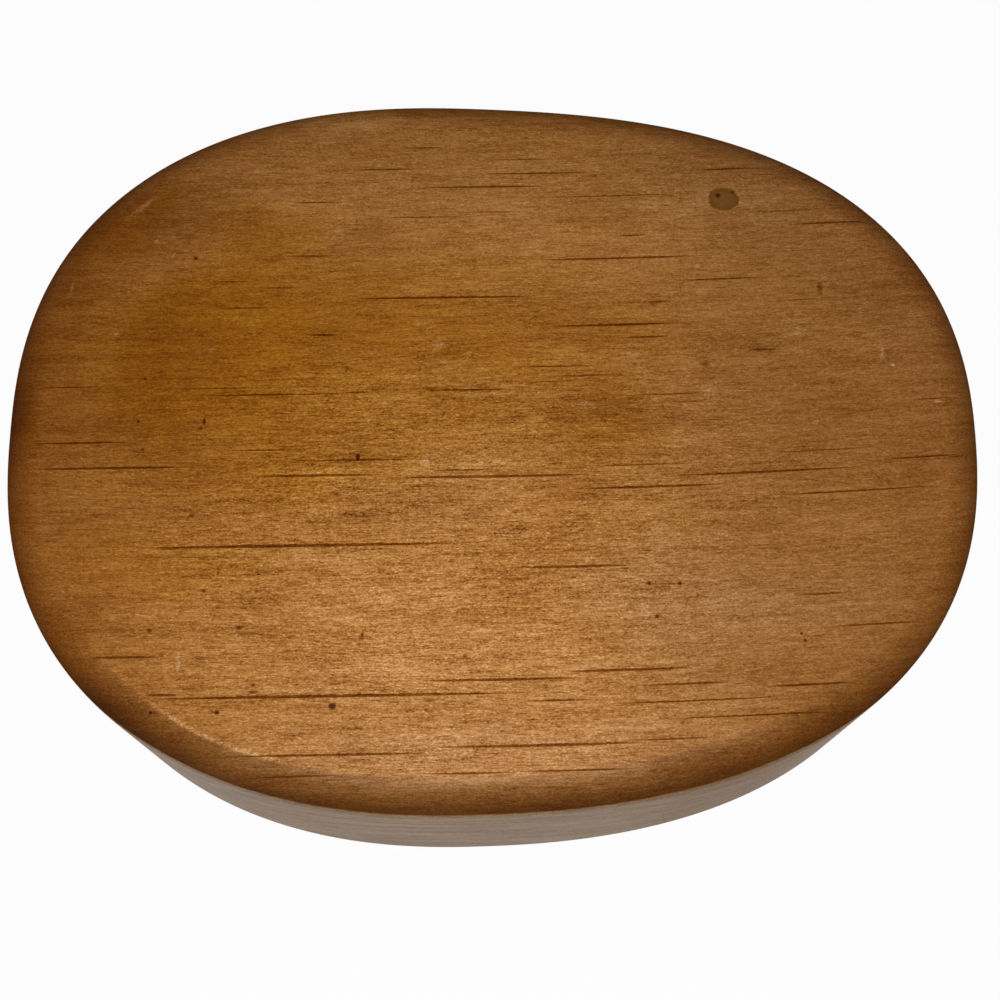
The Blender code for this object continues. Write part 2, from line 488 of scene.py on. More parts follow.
def end_tree(g, mesh, size):
    """Every piece's tree ends here."""
    mesh = g.node("GeometryNodeRealizeInstances", None, {"Geometry": mesh})
    sockets = {"Geometry": mesh, "Material": size["Material"]}
    mesh = g.node("GeometryNodeSetMaterial", None, sockets)
    g.node("NodeGroupOutput", None, {"Geometry": mesh})
    return g.tree


def piece_graph(name, inputs):
    """A piece's tree: its graph and its inputs as wires."""
    return geometry_graph(name, {**inputs, "Material": None}, {"Geometry": "NodeSocketGeometry"})


def oval_edge(g, size, group):
    """The oval's edge as a function of the turn and the depth inside it."""
    oval = pick(size, OVAL_INPUTS)
    return lambda turn, depth: (0, 0, call(g, group, {"Turn": turn, "Depth": depth, **oval}))


# Materials

TOP_MM = LID_HIGH.z * MM
GRAIN_RISE = 0.022  # how the grain climbs to the back, towards the right
GRAIN_CURL = 0.0004  # and how it climbs faster at the right end
LAYER_LEAN = 0.35  # how far a growth layer leans over, for each millimetre down
LAYER_DRAW = 0.96  # how far its streaks are drawn out down the layer, up to 1
LAYERS_FROM = (5, 8)  # how deep under the top the long growth layers take over

# Lengths and widths in millimetres of the streaks along the grain
FINE = (0.9, 0.24)
SHORT = (2.6, 0.22)
GLINT = (0.5, 0.19)
PORE = (2.2, 0.17)
LONG_PORE = (15, 0.34)
MEDIUM_LAYER = (4.5, 0.6)
LONG_LAYER = (45, 1.0)
BROAD_LAYER = (26, 1.9)

# Where the lid's looks change, in millimetres
ON_TOP = (TOP_MM - 4.5, TOP_MM - 1.5)  # marks of the top fade in over these heights
SAWN_SIDE = (TOP_MM - 6.6, TOP_MM - 6.0)  # the sawn side ends over these
SAWN_RISE = 2.1  # how much higher it reaches at the front
ROUNDING_SHADE_REACH = 5.5  # how far out from the crease the painted shade on the rounding reaches its full strength
FRONT_SHADE_REACH = 4.5  # and that of the painted shade on the front rim
CRISP_REACH = 0.6  # over which the crisp part of the painted shade on the front rim sets in
STAIN_DRIFT = (14, 8, 0)  # how far the uneven stain strays from its patches' places
RIM_RADII = (74, 72)  # the painted shade of the rim begins at an oval of these radii
RIM_SHIFT_SHARES = (0.014, 0.19)  # whose middle lies this much of them to the left and front

# Patches of the lid and its sides, as middles and radii
COARSE_PATCH = ((-8, -20), (64, 48))  # where the grain is coarser
RUBBED_HIGHLIGHT_PATCH = ((-41, -48), (15, 8))  # where the crease is rubbed bare and carries a painted highlight
THIN_PATCH = ((36, -50), (18, 16))  # where the side's varnish is thin

RELIEF = 0.00005  # how high the bumps of the wood stand, in metres
FELT_RELIEF = 0.0002
GREEN_POWER, BLUE_POWER = 1.44, 2.4  # how fast these fall where a stained colour gets darker
LINE_LENGTH_SHARE = 1.2  # lines fade towards their ends, so they are drawn this much longer
LINE_WIDTH_SHARE = 0.8  # and this much narrower
FELT_STRAND = (1.6, 0.16, 0.4)  # length, width and height of a fibre
FELT_TURNS = (37, 98, 159)  # the fibres lie these ways

# Dark lines in the lid's top: start and end along X, place across, half width, strength
TOP_LINES = (
    (-21, 5, 21.5, 0.3, 0.85),
    (-45, -25, 5, 0.25, 0.5),
    (-70, -60, 6, 0.22, 0.35),
    (-52, -33, 6, 0.2, 0.3),
    (-10, 2, 6, 0.22, 0.6),
    (-23, -19, 5.5, 0.22, 0.5),
    (-44, -34, 19.5, 0.22, 0.4),
    (-32, -25, 38, 0.25, 0.45),
    (-23, -13, 44, 0.25, 0.45),
    (-15, -8, 48, 0.22, 0.4),
    (-11, 8, 41, 0.25, 0.6),
    (-18, -6, 35.5, 0.22, 0.4),
    (-6, 5, 36.5, 0.22, 0.35),
    (-29, -24, 15, 0.3, 0.5),
    (-37, -30, 23, 0.22, 0.35),
    (-45, -38, 24, 0.22, 0.3),
    (-32, -25, 28.5, 0.25, 0.4),
    (8, 31, 28.5, 0.28, 0.65),
    (29, 42, 25, 0.25, 0.6),
    (9, 28, 17, 0.28, 0.75),
    (20, 27, 15, 0.25, 0.5),
    (39, 44, 13, 0.35, 0.4),
    (4, 16, 10, 0.25, 0.45),
    (8, 20, 8.5, 0.22, 0.35),
    (20, 34, 5.5, 0.22, 0.4),
    (30, 44, 44.5, 0.25, 0.4),
    (-2, 15, 43.5, 0.25, 0.5),
    (0, 10, 46, 0.22, 0.35),
    (5, 31, 39.5, 0.22, 0.35),
    (40, 51, 37, 0.22, 0.35),
    (47, 60, 35, 0.25, 0.5),
    (19, 24, 32.5, 0.3, 0.4),
    (40, 55, 30, 0.2, 0.25),
    (43, 52, 21.5, 0.22, 0.3),
    (23, 28, 21, 0.3, 0.35),
    (64, 71, 5, 0.22, 0.35),
    (-70, -54, -3, 0.25, 0.5),
    (-69, -46, -7, 0.28, 0.65),
    (-40, -29, -4, 0.22, 0.45),
    (-30, -12, -5.5, 0.22, 0.5),
    (-35, -18, -8, 0.3, 0.85),
    (-14, 13, -8, 0.32, 0.9),
    (-9, 0, -7, 0.22, 0.55),
    (-50, -7, -19, 0.34, 1.0),
    (-58, -48, -36, 0.28, 0.6),
    (-50, -45, -41.5, 0.28, 0.6),
    (-46, 2, -41.5, 0.33, 0.95),
    (-10, 12, -39, 0.3, 0.8),
    (11, 27, -37.5, 0.3, 0.75),
    (-38, -9, -50, 0.28, 0.65),
    (-8, 21, -48.5, 0.3, 0.75),
    (20, 31, -47.5, 0.25, 0.45),
    (-35, -21, -53, 0.25, 0.4),
    (-10, 3, -52.5, 0.25, 0.5),
    (4, 20, -52, 0.25, 0.5),
    (13, 34, -9.5, 0.3, 0.7),
    (28, 55, -7, 0.28, 0.65),
    (13, 31, -6, 0.22, 0.4),
    (41, 58, -3.5, 0.22, 0.35),
    (59, 71, -4.5, 0.25, 0.45),
    (42, 66, -10, 0.25, 0.5),
    (4, 20, -22, 0.3, 0.75),
    (44, 53, -26, 0.22, 0.4),
    (48, 64, -30.5, 0.25, 0.4),
    (4, 17, -30.5, 0.2, 0.25),
    (22, 34, -39.5, 0.28, 0.55),
    (40, 52, -39.5, 0.28, 0.6),
    (4, 15, -42, 0.25, 0.45),
    (16, 40, -42, 0.25, 0.5),
    (27, 49, -44, 0.25, 0.45),
)

# Pin knots and dents in the lid's top: place, half length, half width, strength
TOP_PINS = (
    (-47, 28, 0.4, 0.4, 0.8),
    (-20.5, -5, 0.4, 0.65, 1.3),
    (-23, -43, 0.65, 0.55, 1.3),
    (-42.5, -26, 0.45, 0.4, 0.7),
    (-37, -31.5, 0.6, 0.4, 0.7),
    (-34.5, -41, 0.9, 0.35, 0.7),
    (-34.5, -40, 0.4, 0.4, 0.6),
    (-48, -35.5, 0.6, 0.5, 0.3),
    (-39.5, -44, 0.45, 0.4, 0.9),
    (-49, -44, 0.35, 0.35, 0.7),
    (-50, -32, 0.45, 0.4, 0.7),
    (-4, -35.5, 0.45, 0.4, 0.6),
    (-9.5, -43.5, 0.45, 0.4, 0.6),
    (-54, 0.5, 0.35, 0.3, 0.7),
    (-44, 0.5, 0.35, 0.7, 0.8),
    (-44.5, -0.5, 0.5, 0.3, 0.6),
    (-40.5, -23, 0.25, 0.8, 0.45),
    (-53.5, 7.5, 0.35, 0.3, 0.7),
    (-53, -4, 0.4, 0.3, 0.6),
    (-22.5, 9.5, 0.45, 0.4, 0.6),
    (-23.5, -11, 0.5, 0.4, 0.5),
    (23, -24.5, 0.4, 0.4, 0.8),
    (27.5, -24.5, 0.4, 0.4, 0.8),
    (24, -29.5, 0.45, 0.4, 0.8),
    (45, -32, 0.3, 0.3, 0.8),
    (45.5, -33, 0.35, 0.3, 0.8),
    (-19, -32.5, 0.35, 0.8, 0.6),
    (41, 13, 0.6, 0.4, 0.25),
    (32.5, 10.5, 0.9, 0.6, 0.45),
    (52, 7.5, 0.3, 0.3, 0.5),
    (16.5, 1.5, 0.35, 0.35, 0.5),
    (-31.5, 10, 0.35, 0.3, 0.4),
    (-25.5, -24.5, 0.3, 0.25, 0.4),
    (59.5, -8.5, 0.35, 0.35, 0.4),
    (51, 23.5, 0.6, 1.2, 0.5),
    (-7, 12.5, 2.2, 0.9, 0.2),
    (-45, -14.5, 0.6, 0.4, 0.5),
)

# Pale scuffs and ticks in the lid's varnish: middle, radii, turn and strength
TOP_SCUFFS = (
    ((-66, 23), (2.2, 0.35), 78, 0.30),
    ((-56, 37), (4.8, 0.7), 42, 0.22),
    ((-58.5, 15), (0.7, 0.4), 0, 0.45),
    ((-53.5, 31), (0.6, 0.4), 0, 0.50),
    ((-43.5, 12.5), (1.1, 0.5), 40, 0.22),
    ((-45.5, -36.5), (2.8, 0.5), 88, 0.35),
    ((-28.5, -15.5), (1.2, 0.8), 0, 0.25),
    ((-10, -5.5), (1.6, 1.3), 60, 0.35),
    ((-8.5, 13.5), (1.8, 1.4), 0, 0.22),
    ((-8, 10.5), (1.3, 0.4), 0, 0.25),
    ((-4.5, 11), (2.4, 0.9), 55, 0.12),
    ((-11.5, 17), (1.6, 0.5), 0, 0.20),
    ((21, 12), (2.0, 0.8), 0, 0.30),
    ((14, 3.5), (2.6, 1.2), 0, 0.20),
    ((33.5, 6), (4.5, 2.6), 30, 0.14),
    ((33.5, -27), (3.8, 0.4), 6, 0.40),
    ((47, 16), (1.9, 1.0), 0, 0.25),
    ((49, 1), (1.0, 0.45), 15, 0.35),
    ((60, 12.5), (1.5, 0.3), 80, 0.50),
    ((61.5, 10.5), (0.7, 0.35), -50, 0.90),
    ((68, 4.5), (1.1, 0.35), 0, 0.60),
)

# What a stain does to the wood where it lies thin, very thin, or thick and of one colour
PALE = (1.2, 1.3, 1.6)
DUSTY = (1.1, 1.2, 1.7)
BLEACHED = (1.2, 1.35, 2.2)
GOLDEN = (0.95, 0.9, 0.5)
ORANGE = (0.8, 0.7, 0.3)
BROWN = (0.8, 0.75, 0.7)

# How unevenly the lid took its stain: middle, radii, turn, softness, stain and how much of it
TOP_STAINS = (
    ((-26, 8), (62, 30), 0, 0.4, ORANGE, 1.0),
    ((-10, -3), (26, 18), 0, 0.1, BLEACHED, 0.8),
    ((-47, 13), (26, 18), 0, 0.5, GOLDEN, 1.0),
    ((-59, 17), (20, 6.5), 57, 0.3, BLEACHED, 0.9),
    ((-57, 34), (15, 6), 50, 0.3, ORANGE, 1.0),
    ((-36, 33), (14, 7), 0, 0.3, ORANGE, 0.8),
    ((-21, 31), (10, 4), 0, 0.2, BROWN, 1.0),
    ((-22, 15), (16, 5), 0, 0.2, ORANGE, 0.4),
    ((-10, 24), (18, 4.5), 0, 0.2, PALE, 0.8),
    ((17, 0), (14, 9), 0, 0.2, ORANGE, 0.7),
    ((28, -27), (26, 13), 0, 0.2, DUSTY, 0.7),
    ((58, -37), (16, 9), 45, 0.2, BROWN, 0.7),
    ((34, 37), (18, 10), -20, 0.2, PALE, 1.0),
    ((2, 34), (12, 6), 0, 0.2, PALE, 0.5),
    ((-48, -22), (22, 9), 0, 0.2, GOLDEN, 0.8),
    ((1, 7), (15, 4), -10, 0.2, BLEACHED, 0.6),
    ((-26, -9), (9, 6), 0, 0.2, PALE, 1.0),
    ((0, -52), (56, 9), 0, 0.3, DUSTY, 0.9),
    ((0, -41), (58, 10), 0, 0.4, DUSTY, 0.3),
    ((54, -27), (12, 9), 0, 0.2, DUSTY, 0.5),
    ((-38, 26), (17, 7), 0, 0.2, GOLDEN, 0.6),
    ((20, 16), (15, 7), 0, 0.2, GOLDEN, 0.4),
    ((-40, -9), (20, 7), 0, 0.2, GOLDEN, 0.4),
    ((-73, 2), (8, 12), 0, 0.2, ORANGE, 0.5),
)
# Painted shade: darker to the right, the left and the back, away from the light in front; the left
# tint is also the wood's amber colour
RIGHT_SHADE = (0.75, 0.72, 0.7)
LEFT_AMBER_AND_SHADE = (0.7, 0.6, 0.4)
BACK_SHADE = (0.88, 0.88, 0.9)
# Painted shade round the rim
RIM_SHADE = (0.9, 0.85, 0.85)

# Lighter and darker places in the lid's top: middle, radii and how much lighter
TOP_SHADES = (
    ((-48, 36), (10, 8), -0.14),
    ((-52, 29), (9, 6), -0.10),
    ((-65, 24), (7, 6), -0.10),
    ((-60, 11), (10, 7), 0.09),
    ((-45, 12), (10, 6), -0.13),
    ((-24, 6), (17, 6), 0.12),
    ((-30, -6), (11, 6), 0.08),
    ((-44, -6), (9, 6), -0.13),
    ((-61, -8), (9, 7), 0.12),
    ((-73, 2), (5, 9), -0.24),
    ((-60, -30), (8, 6), -0.08),
    ((-40, 40), (15, 5), -0.09),
    ((-24, 54), (12, 5), 0.34),
    ((-22, 48), (10, 5), -0.13),
    ((-18, 42), (9, 5), 0.11),
    ((27, 49), (16, 6), 0.12),
    ((44, 42), (14, 8), 0.14),
    ((43, 47), (8, 4), 0.16),
    ((51, 34), (11, 8), 0.12),
    ((36, 35), (6, 6), -0.16),
    ((15, 36), (9, 5), -0.10),
    ((14, 17), (10, 5), -0.11),
    ((45, 17), (8, 5), 0.07),
    ((57, 14), (8, 6), 0.06),
    ((36, 6), (6, 5), -0.10),
    ((50, 2), (13, 8), -0.11),
    ((18, 6), (6, 4), -0.10),
    ((11, -9), (10, 7), -0.15),
    ((52, -16), (11, 9), 0.09),
    ((62, -8), (7, 8), -0.10),
    ((-14, -24), (22, 8), 0.12),
    ((-34, -30), (10, 6), -0.08),
    ((-13, -36), (18, 7), 0.16),
    ((15, -31), (9, 7), -0.07),
    ((41, -30), (14, 7), 0.10),
    ((31, -40), (11, 7), 0.06),
    ((-42, -48), (7, 5), -0.15),
    ((-31, -51), (8, 4), -0.08),
    ((-8, -50), (9, 5), 0.10),
    ((12, -48), (9, 5), 0.08),
    ((30, -51), (12, 5), -0.16),
    ((48, -43), (8, 5), -0.09),
    ((6, -34), (14, 5), 0.09),
)
BARE_GLOSS = 0.01  # how little the wood reflects where no varnish lies on it

# The pith and a pore in the dowel's end: place from its middle, half sizes and strength
DOWEL_DOTS = ((-0.9, 0.7, 0.55, 0.5, 1.0), (1.45, 1.25, 0.35, 0.3, 0.7))
DOWEL_RING_SHARES = (0.55, 0.9)  # shares of its radius between which the ring darkens
DOWEL_RIM_SHARES = (0.96, 1.12)  # and between which it blends into the lid
DOWEL_SQUASH = 1.22  # its rings are this much longer along the grain than across it


def material_graph(name):
    """A new node material and its empty graph."""
    material = bpy.data.materials.new(name)
    material.use_nodes = True
    material.node_tree.nodes.clear()
    return material, Graph(material.node_tree)


def end_material(g, sockets):
    """Every piece's material ends here."""
    shader = g.node("ShaderNodeBsdfPrincipled", None, sockets)
    g.node("ShaderNodeOutputMaterial", None, {"Surface": shader})


def opaque(colour):
    return (*colour, 1)


def tinted(g, colour, tint, mask):
    """A colour multiplied by a tint where the mask is 1."""
    return g.mix(mask, colour, opaque(tint), "MULTIPLY")


def place_in_mm(g):
    """The place on the piece in millimetres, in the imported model's frame."""
    place = g.node("ShaderNodeTexCoord", output="Object")
    return g.vector("MULTIPLY", place, (MM, MM, MM))


def patch(g, place, middle, radii, turn=0, soft=0.5):
    """1 in the middle of an ellipse in plan, fading to 0 at its edge."""
    lean = math.radians(turn)
    shift = g.vector("SUBTRACT", place, (*middle, 0))
    along = (math.cos(lean) / radii[0], math.sin(lean) / radii[0], 0)
    over = (-math.sin(lean) / radii[1], math.cos(lean) / radii[1], 0)
    flat = g.combine(g.vector("DOT_PRODUCT", shift, along), g.vector("DOT_PRODUCT", shift, over))
    return 1 - g.vector("LENGTH", flat).smooth(soft, 1)


def marks(g, place, rows, flow=lambda x, y: y):
    """The strongest of many small dark ellipses, each darkest in its middle."""
    found = 0
    for x, y, half_length, half_width, strength in rows:
        root = math.sqrt(strength)
        stretch = (root / half_length, root / half_width, 0)
        shift = (-x * stretch[0], -flow(x, y) * stretch[1], 0)
        away = g.vector("MULTIPLY_ADD", place, stretch, shift)
        shade = strength - g.vector("DOT_PRODUCT", away, away)
        found = shade.at_least(found)
    return found


def line_rows():
    """The lid's dark lines as marks: middle, half length, half width and strength."""
    for start, end, y, half_width, strength in TOP_LINES:
        half_length = LINE_LENGTH_SHARE * (end - start) / 2
        yield (start + end) / 2, y, half_length, LINE_WIDTH_SHARE * half_width, strength


def grain_line(x, y):
    """Which line of the grain passes here, as its place across the box at X = 0."""
    return y - GRAIN_RISE * x - GRAIN_CURL * max(x, 0) ** 2


def stained(g, colour, tone):
    """A stained colour made lighter or darker, and more golden brown the darker it is."""
    return g.vector("MULTIPLY", colour, g.combine(tone, tone**GREEN_POWER, tone**BLUE_POWER))


def grain(g, place, coarse=1):
    """The wood's own pattern, running through the whole block. coarse makes it stronger.

    Its streaks lie along X. Under the top they lie in growth layers, which lean over, so the
    sawn side shows the layers' ends. Returns the line of the grain through each point, the
    fine and the medium streaks, the speckle, the open pores and the tone they make together.
    """
    x, y, z = g.parts(place)
    right = x.at_least(0)
    line = y - GRAIN_RISE * x - GRAIN_CURL * (right * right)
    across = line + 2.2 * g.patches(place, (0.015, 0.045, 0.045), 1)
    sunk = z - TOP_MM
    layer, along_layer = across + LAYER_LEAN * sunk, z - LAYER_DRAW * sunk

    def streaks(length, width, detail=0):
        return g.noise(g.combine(x / length, across / width, z / width), detail)

    def layers(length, width, detail=0):
        return g.noise(g.combine(x / length, layer / width, along_layer / width), detail)

    speckle = g.patches(place, (3.4, 5.2, 5.2), 1)
    fine = streaks(*FINE, 1)
    medium = layers(*MEDIUM_LAYER, 1)
    medium = medium + (-sunk).smooth(*LAYERS_FROM) * (layers(*LONG_LAYER, 1) - 0.5 * medium)
    broad = layers(*BROAD_LAYER, 2)
    cloud = g.patches(place, (0.05, 0.11, 0.11), 2)
    pores = streaks(*PORE).smooth(0.16, 0.28) + 0.5 * streaks(*LONG_PORE).smooth(0.17, 0.27)
    glints = streaks(*GLINT).smooth(0.14, 0.30)
    small = 1.2 * speckle + 0.8 * fine + 0.4 * glints - 0.22 * pores + 0.5 * streaks(*SHORT)
    tone = 1.04 + coarse * (small + 0.68 * medium + 0.54 * broad + 0.48 * cloud)
    return line, fine, medium, speckle, pores, tone


def varnished(g, finish, colour, tone, dull, fine, medium, pores, coat):
    """Ends a wood material: stained wood under a thin satin varnish that shows its pores."""
    rough = finish.varnish + 0.25 * medium + 0.2 * fine + dull
    relief = 0.6 * fine + 0.4 * medium - 0.8 * pores
    sockets = {
        "Base Color": stained(g, colour, tone.at_least(0.12)),
        "Roughness": rough.share(),
        "Normal": g.bump(0.25, RELIEF, relief),
        "Specular IOR Level": BARE_GLOSS,
        "Coat Weight": coat,
        "Coat Roughness": finish.varnish,
    }
    end_material(g, sockets)


def side_coat(g, finish, place, fine, medium):
    """The sawn side's varnish, uneven along the grain and thinner to the front right."""
    x, _, _ = g.parts(place)
    uneven = g.patches(place, (0.16, 0.3, 0.3), 2)
    coat = finish.side_coat * (1 + 1.6 * fine + 1.4 * medium + 0.8 * uneven)
    thin = 0.2 * x.smooth(16, 34) + 0.26 * patch(g, place, *THIN_PATCH, soft=0.3)
    return coat * (1 - thin)


def lid_material(settings):
    """The lid's wood, with its dark lines, pin knots, uneven stain and rubbed edge, painted shade
    on its rounding, round its rim and away from the front, and a painted highlight along the worn
    crease.
    """
    finish = settings.finish
    material, g = material_graph("lid_wood")
    place = place_in_mm(g)
    x, y, z = g.parts(place)
    coarse = 0.82 + 0.42 * patch(g, place, *COARSE_PATCH, soft=0.3)
    line, fine, medium, speckle, pores, tone = grain(g, place, coarse)
    on_top = z.smooth(*ON_TOP)
    trace = g.combine(x, line + 0.15 * fine)
    lines = marks(g, trace, line_rows(), grain_line).smooth(0, 0.45)
    pins = marks(g, place, TOP_PINS).at_most(0.8)
    tone = tone * (1 - 0.62 * on_top * lines) * (1 - on_top * pins)
    shade = 1
    for middle, radii, amount in TOP_SHADES:
        shade = shade + amount * patch(g, place, middle, radii, soft=0.2)
    tone = tone * shade

    sockets = {"Vector": place, "Scale": 0.09, "Detail": 2}
    drift = g.node("ShaderNodeTexNoise", None, sockets, "Color")
    start = g.vector("ADD", place, tuple(-reach / 2 for reach in STAIN_DRIFT))
    spot = g.vector("MULTIPLY_ADD", drift, STAIN_DRIFT, start)
    colour = opaque(finish.wood)
    for middle, radii, turn, soft, stain, share in TOP_STAINS:
        colour = tinted(g, colour, stain, share * patch(g, spot, middle, radii, turn, soft))
    # How far out towards the rim each point lies, for the rim's painted shade
    shares = (1 / RIM_RADII[0], 1 / RIM_RADII[1], 0)
    away = g.vector("MULTIPLY_ADD", place, shares, (*RIM_SHIFT_SHARES, 0))
    away = g.vector("LENGTH", away)
    # Painted shade: darker to the right, the left and the back, away from the front lamp; the left
    # tint also holds the wood's amber colour
    colour = tinted(g, colour, RIGHT_SHADE, x.smooth(8, 44))
    colour = tinted(g, colour, LEFT_AMBER_AND_SHADE, 1 - x.smooth(-66, -34))
    colour = tinted(g, colour, BACK_SHADE, y.smooth(26, 46))
    # Painted shade: darker round the rim
    colour = tinted(g, colour, RIM_SHADE, away.smooth(0.78, 1.0))
    # Painted shade on the rounding, deeper and sharper along the front rim, where the edge turns
    # away from the light
    crease = MM * g.attribute("crease")
    rounding = (-crease).share(0, ROUNDING_SHADE_REACH)
    shaded = (-y).smooth(30, 46) * (1 - 0.4 * x.smooth(10, 50))
    crisp = 0.5 - 0.3 * x.smooth(-30, 0)
    fade = (-crease).share(0, FRONT_SHADE_REACH)
    shaded = shaded * (fade + crisp * ((-crease).smooth(0, CRISP_REACH) - fade))
    colour = tinted(g, colour, finish.edge, rounding)
    colour = tinted(g, colour, finish.front_shade, shaded)
    scuffed = 0
    for middle, radii, turn, strength in TOP_SCUFFS:
        scuffed = (strength * patch(g, place, middle, radii, turn, 0)).at_least(scuffed)
    colour = g.mix(on_top * scuffed * (0.9 + 1.5 * speckle), colour, opaque(finish.bare))
    # A pale line along the crease at the front left: wood rubbed bare, and a painted highlight
    rub_and_highlight = (1 - g.math("ABSOLUTE", crease - 0.1).smooth(0.05, 0.40)) * on_top
    rub_and_highlight = rub_and_highlight * patch(g, place, *RUBBED_HIGHLIGHT_PATCH) * (0.38 + 1.5 * speckle)
    colour = g.mix(rub_and_highlight.share(), colour, opaque(finish.bare))
    sawn = 1 - (z - SAWN_RISE * (-y).smooth(36, 50)).smooth(*SAWN_SIDE)
    colour = g.mix(sawn, colour, opaque(finish.side))
    coat = finish.lid_coat * (1 - rounding) * (1 - 0.9 * lines)
    coat = coat + sawn * side_coat(g, finish, place, fine, medium)
    dull = 0.1 * rub_and_highlight + 0.4 * rounding * (1 - sawn) + 0.3 * lines
    varnished(g, finish, colour, tone, dull, fine, medium, pores, coat)
    return material


def side_material(settings):
    """The wall's and the base's wood, raw and faintly sawn inside the hollow."""
    finish = settings.finish
    material, g = material_graph("side_wood")
    place = place_in_mm(g)
    x, y, z = g.parts(place)
    _, fine, medium, speckle, pores, tone = grain(g, place)
    sawn = g.attribute("sawn")
    wander = g.patches(place, (0.3, 0.3, 0.3), 1)
    ridges = g.combine(x * 3.2 + 2 * wander, y * 3.2 + 2 * wander, z * 0.08)
    ridges = g.noise(ridges, 1)
    tone = tone * (1 + 0.5 * sawn * ridges)
    colour = g.mix(0.6 * sawn, opaque(finish.side), opaque(finish.bare))
    pores = pores + sawn * ridges
    coat = side_coat(g, finish, place, fine, medium)
    varnished(g, finish, colour, tone, 0.15 * sawn, fine, medium, pores, coat)
    return material


def dowel_material(settings):
    """Dark end grain with a darker ring inside its rim and a pith dot off the middle."""
    finish = settings.finish
    material, g = material_graph("dowel_end_grain")
    place = place_in_mm(g)
    radius = settings.dowel.radius * MM
    middle = (DOWEL_PLACE.x * MM, DOWEL_PLACE.y * MM)
    flat = g.vector("MULTIPLY_ADD", place, (1, 1, 0), (-middle[0], -middle[1], 0))
    wobble = g.patches(place, (0.5, 0.5, 0.15), 2)
    squashed = g.vector("MULTIPLY", flat, (1, DOWEL_SQUASH, 1))
    away = g.vector("LENGTH", squashed) / radius + 0.5 * wobble
    specks = g.patches(place, (3, 3, 0.6), 1)
    colour = g.mix(away.smooth(*DOWEL_RING_SHARES), opaque(finish.dowel), opaque(finish.dowel_ring))
    colour = g.mix(away.smooth(*DOWEL_RIM_SHARES), colour, opaque(finish.dowel_rim))
    dots = marks(g, flat, DOWEL_DOTS)
    tone = (1 + 0.5 * specks) * (1 - 0.75 * dots)
    bump = g.bump(0.3, RELIEF, specks)
    sockets = {
        "Base Color": stained(g, colour, tone.at_least(0.15)),
        "Roughness": 0.55 + 0.3 * specks,
        "Normal": bump,
        "Specular IOR Level": 0.05,
    }
    end_material(g, sockets)
    return material


def felt_material(settings):
    """Pressed wool felt: short fibres lying every way, matt and a little uneven."""
    finish = settings.finish
    material, g = material_graph("green_felt")
    place = place_in_mm(g)
    bend_by = g.patches(place, (0.9, 0.9, 0.9), 1)
    x, y, z = g.parts(place)
    length, width, height = FELT_STRAND

    def strands(turn, offset):
        along = x * math.cos(turn) + y * math.sin(turn) + 3 * bend_by
        over = y * math.cos(turn) - x * math.sin(turn) + 3 * bend_by
        return g.noise(g.combine(along / length + offset, over / width, z / height), 1)

    first, second, third = (strands(math.radians(FELT_TURNS[i]), 9 * i) for i in range(3))
    fibre = first.at_least(second).at_least(third)
    worn = g.patches(place, (0.06, 0.06, 0.06), 2)
    tone = 0.9 + 2.0 * fibre + 0.5 * worn
    colour = g.vector("MULTIPLY", tuple(finish.felt), g.combine(tone, tone, tone))
    bump = g.bump(0.8, FELT_RELIEF, fibre)
    sockets = {"Base Color": colour, "Roughness": 0.95, "Normal": bump, "Sheen Weight": 0.35}
    end_material(g, {**sockets, "Sheen Roughness": 0.4, "Specular IOR Level": 0.2})
    return material


# The pieces' trees

SEAM_HEIGHT = (WALL_HIGH.z + LID_LOW.z) / 2  # where the lid parts from the wall
GLUE_HEIGHT = (BOARD_HIGH.z + WALL_LOW.z) / 2  # where the bottom slice is glued on
GLUE_LINE = 0.00001
FELT_UNEVENNESS = 0.00008
FELT_LUMPS = 160  # how many of them stand side by side in a metre
FELT_EDGE_EASE = 0.00035
DOWEL_TOP_EASE = 0.00003
DOWEL_STEPS = 64  # round the dowel
DRILL_OVERRUN = 0.002
SEAT_ROOM = 0.0003  # under the dowel's end
SEAT_BOTTOM = DOWEL_LOW.z - SEAT_ROOM

# Rings in each stage of a slab (underside, lower edge, side, rounding and top) and of the wall
# (outside, arris, rim, ease, inside and underside)
LID_RINGS = (20, 3, 8, 20, 30)
DOWEL_RINGS = (4, 4, 8, 4, 8)
BOARD_RINGS = (20, 5, 5, 1, 20)
LINING_RINGS = (12, 1, 2, 5, 70)
WALL_RINGS = (12, 3, 6, 4, 14, 1)


def no_depth(turn):
    return 0


def no_rounding(turn):
    return 0, 0


